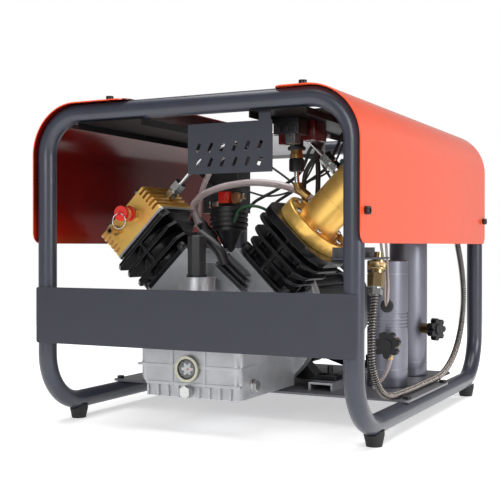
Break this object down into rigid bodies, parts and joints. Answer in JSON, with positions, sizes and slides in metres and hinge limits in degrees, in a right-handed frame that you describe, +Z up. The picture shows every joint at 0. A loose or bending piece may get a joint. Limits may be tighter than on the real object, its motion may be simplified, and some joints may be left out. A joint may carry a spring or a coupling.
{
  "type": "twin stack compressor",
  "caption": "V-twin high-pressure air compressor in a skid tube frame, with side covers, filter stacks, an electric motor and a spring-guarded fill hose.",
  "frame": {"origin": "centre of the footprint, on the floor under the rubber feet", "axes": "+X to the right as seen from the front, +Y from the front to the back, +Z up"},
  "size_m": [0.486, 0.605, 0.4435],
  "materials": {
    "frame_paint": "satin dark blue-grey powder coat",
    "guard_paint": "satin slate-grey paint",
    "sheet_black": "satin black paint",
    "cover_orange": "glossy orange-red paint",
    "foot_rubber": "matte",
    "black_screw": "black oxide",
    "zinc": "bright zinc plate",
    "cast_aluminium": "fine sand-cast",
    "gold_anodised": "satin gold anodised",
    "black_casting": "semi-gloss black enamel",
    "black_plastic": "fine moulded grain",
    "brass": "turned",
    "red_plastic": "glossy red",
    "steel": "bright drawn steel",
    "piston_alloy": "machined",
    "winding": "varnished core and copper winding",
    "stack_grey": "satin grey-blue anodised",
    "clear_tube": "translucent pinkish grey",
    "hose_black": "black hose in a steel spring guard"
  },
  "bodies": {
    "root": {"front_hoop": "frame_paint", "rear_hoop": "frame_paint", "skid_rails": "frame_paint", "hose_bracket": "frame_paint", "front_guard": "guard_paint", "slotted_bracket": "guard_paint", "base_plate": "sheet_black", "top_trays": "sheet_black", "control_panel": "sheet_black", "control_box": "sheet_black", "right_cover": "cover_orange", "left_cover": "cover_orange", "rubber_feet": "foot_rubber", "cover_bolts": "black_screw", "base_bolts": "black_screw", "cylinder_bolts": "black_screw", "crankcase_bolts": "zinc", "head_bolts": "zinc", "pipe_nuts": "zinc", "hose_outlet": "zinc", "sight_glass": "zinc", "crankcase": "cast_aluminium", "bell_housing": "cast_aluminium", "motor_rails": "cast_aluminium", "valve_plate": "cast_aluminium", "left_head": "gold_anodised", "right_flange": "gold_anodised", "right_barrel": "gold_anodised", "left_cylinder": "black_casting", "right_cylinder": "black_casting", "motor_housing": "black_casting", "breather": "black_plastic", "air_filter": "black_plastic", "power_switch": "black_plastic", "cable_gland": "black_plastic", "fan_cowl": "black_plastic", "pressure_gauge": "black_plastic", "head_fittings": "brass", "quick_coupler": "brass", "drain_valves": "brass", "discharge_pipe": "steel", "bearings": "steel", "stator": "winding", "front_stack": "stack_grey", "rear_stack": "stack_grey", "clear_hoses": "clear_tube", "hose": "hose_black"},
    "crank": {"crankshaft": "steel", "cooling_fan": "black_plastic"},
    "left_rod": {"left_rod": "steel"},
    "right_rod": {"right_rod": "steel"},
    "left_piston": {"left_piston": "piston_alloy"},
    "right_piston": {"right_piston": "piston_alloy"},
    "needle": {"gauge_needle": "red_plastic"},
    "rocker": {"switch_rocker": "black_plastic"},
    "valve_cap": {"safety_cap": "red_plastic"},
    "valve_ring": {"pull_ring": "steel"},
    "front_knob": {"front_knob": "black_plastic"},
    "rear_knob": {"rear_knob": "black_plastic"},
    "sleeve": {"coupler_sleeve": "brass"}
  },
  "joints": [
    {"name": "crank_turn", "type": "hinge", "parent": "root", "child": "crank", "pos_m": [-0.018, 0, 0.145], "axis": [0, 1, 0], "continuous": true},
    {"name": "left_rod_pin", "type": "hinge", "parent": "crank", "child": "left_rod", "pos_m": [-0.018, -0.16, 0.16], "axis": [0, 1, 0], "continuous": true},
    {"name": "right_rod_pin", "type": "hinge", "parent": "crank", "child": "right_rod", "pos_m": [-0.018, -0.138, 0.16], "axis": [0, 1, 0], "continuous": true},
    {"name": "left_piston_slide", "type": "slide", "parent": "root", "child": "left_piston", "axis": [-0.7071, 0, 0.7071], "range_m": [-0.025, 0.005]},
    {"name": "right_piston_slide", "type": "slide", "parent": "root", "child": "right_piston", "axis": [0.7071, 0, 0.7071], "range_m": [-0.025, 0.005]},
    {"name": "gauge_needle_turn", "type": "hinge", "parent": "root", "child": "needle", "pos_m": [0.04, 0.28, 0.352], "axis": [0, -1, 0], "range_deg": [0, 270], "stiffness_Nm_per_rad": 0.0002, "springref_deg": -17.19},
    {"name": "switch_rock", "type": "hinge", "parent": "root", "child": "rocker", "pos_m": [0.104, 0.2725, 0.356], "axis": [1, 0, 0], "range_deg": [0, 14]},
    {"name": "safety_cap_lift", "type": "slide", "parent": "root", "child": "valve_cap", "axis": [0, -1, 0], "range_m": [0, 0.003], "stiffness_N_per_m": 2000, "springref_m": -0.002},
    {"name": "pull_ring_swing", "type": "hinge", "parent": "valve_cap", "child": "valve_ring", "pos_m": [-0.13821, -0.2405, 0.29066], "axis": [1, 0, 0], "range_deg": [-100, 0]},
    {"name": "front_knob_turn", "type": "hinge", "parent": "root", "child": "front_knob", "pos_m": [0.183, -0.05, 0.107], "axis": [0, -1, 0], "range_deg": [0, 540]},
    {"name": "rear_knob_turn", "type": "hinge", "parent": "root", "child": "rear_knob", "pos_m": [0.20555, 0.11717, 0.117], "axis": [0.9272, -0.3746, 0], "range_deg": [0, 540]},
    {"name": "coupler_sleeve_slide", "type": "slide", "parent": "root", "child": "sleeve", "axis": [0, -0.2419, -0.9703], "range_m": [0, 0.004], "stiffness_N_per_m": 1500, "springref_m": -0.002}
  ],
  "couplings": [
    {"joint": "left_rod_pin", "follows": "crank_turn", "ratio": -1},
    {"joint": "right_rod_pin", "follows": "crank_turn", "ratio": -1}
  ]
}
